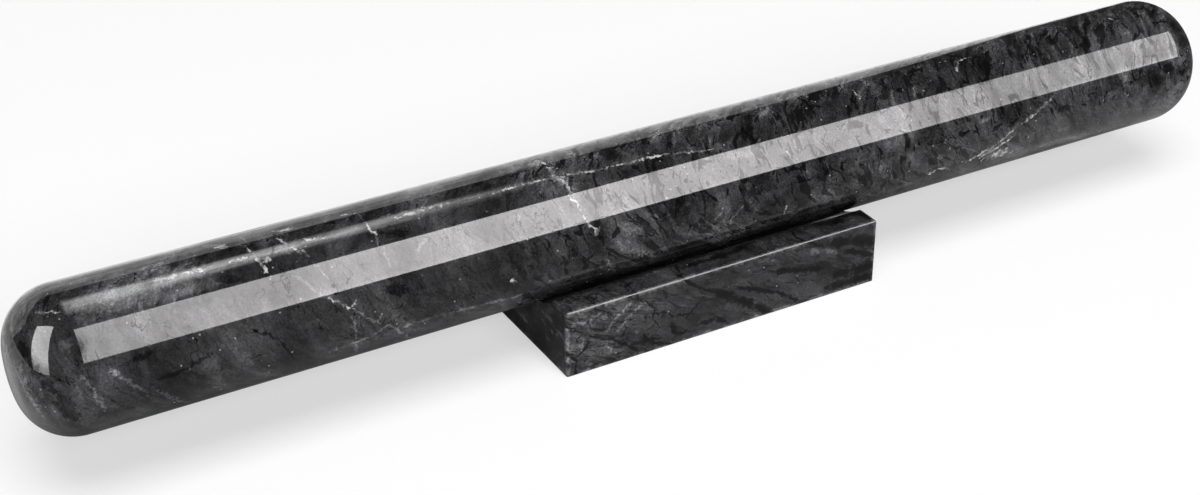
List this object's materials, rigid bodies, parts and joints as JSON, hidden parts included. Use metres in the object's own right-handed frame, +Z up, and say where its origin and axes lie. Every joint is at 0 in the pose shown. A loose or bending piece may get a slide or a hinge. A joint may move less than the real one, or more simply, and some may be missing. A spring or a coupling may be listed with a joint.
{
  "type": "marble rolling pin",
  "caption": "Solid polished marble rolling pin with rounded ends, lying in the lengthwise trough of a rectangular marble cradle.",
  "frame": {"origin": "on the surface that the cradle stands on, straight below the middle of the pin", "axes": "+X along the pin's axis, +Y across the cradle towards its back, +Z up"},
  "size_m": [0.406, 0.049, 0.0586],
  "materials": {
    "pin_marble": "charcoal marble with grey clouds and thin white veins, polished to a gloss",
    "cradle_marble": "charcoal marble with grey blotches and dark crack lines, polished"
  },
  "bodies": {
    "cradle": {"cradle": "cradle_marble"},
    "rolling_pin": {"rolling_pin": "pin_marble"}
  },
  "joints": [
    {"name": "pin_lift", "type": "slide", "parent": "cradle", "child": "rolling_pin", "axis": [0, 0, 1], "range_m": [0, 0.07]}
  ]
}
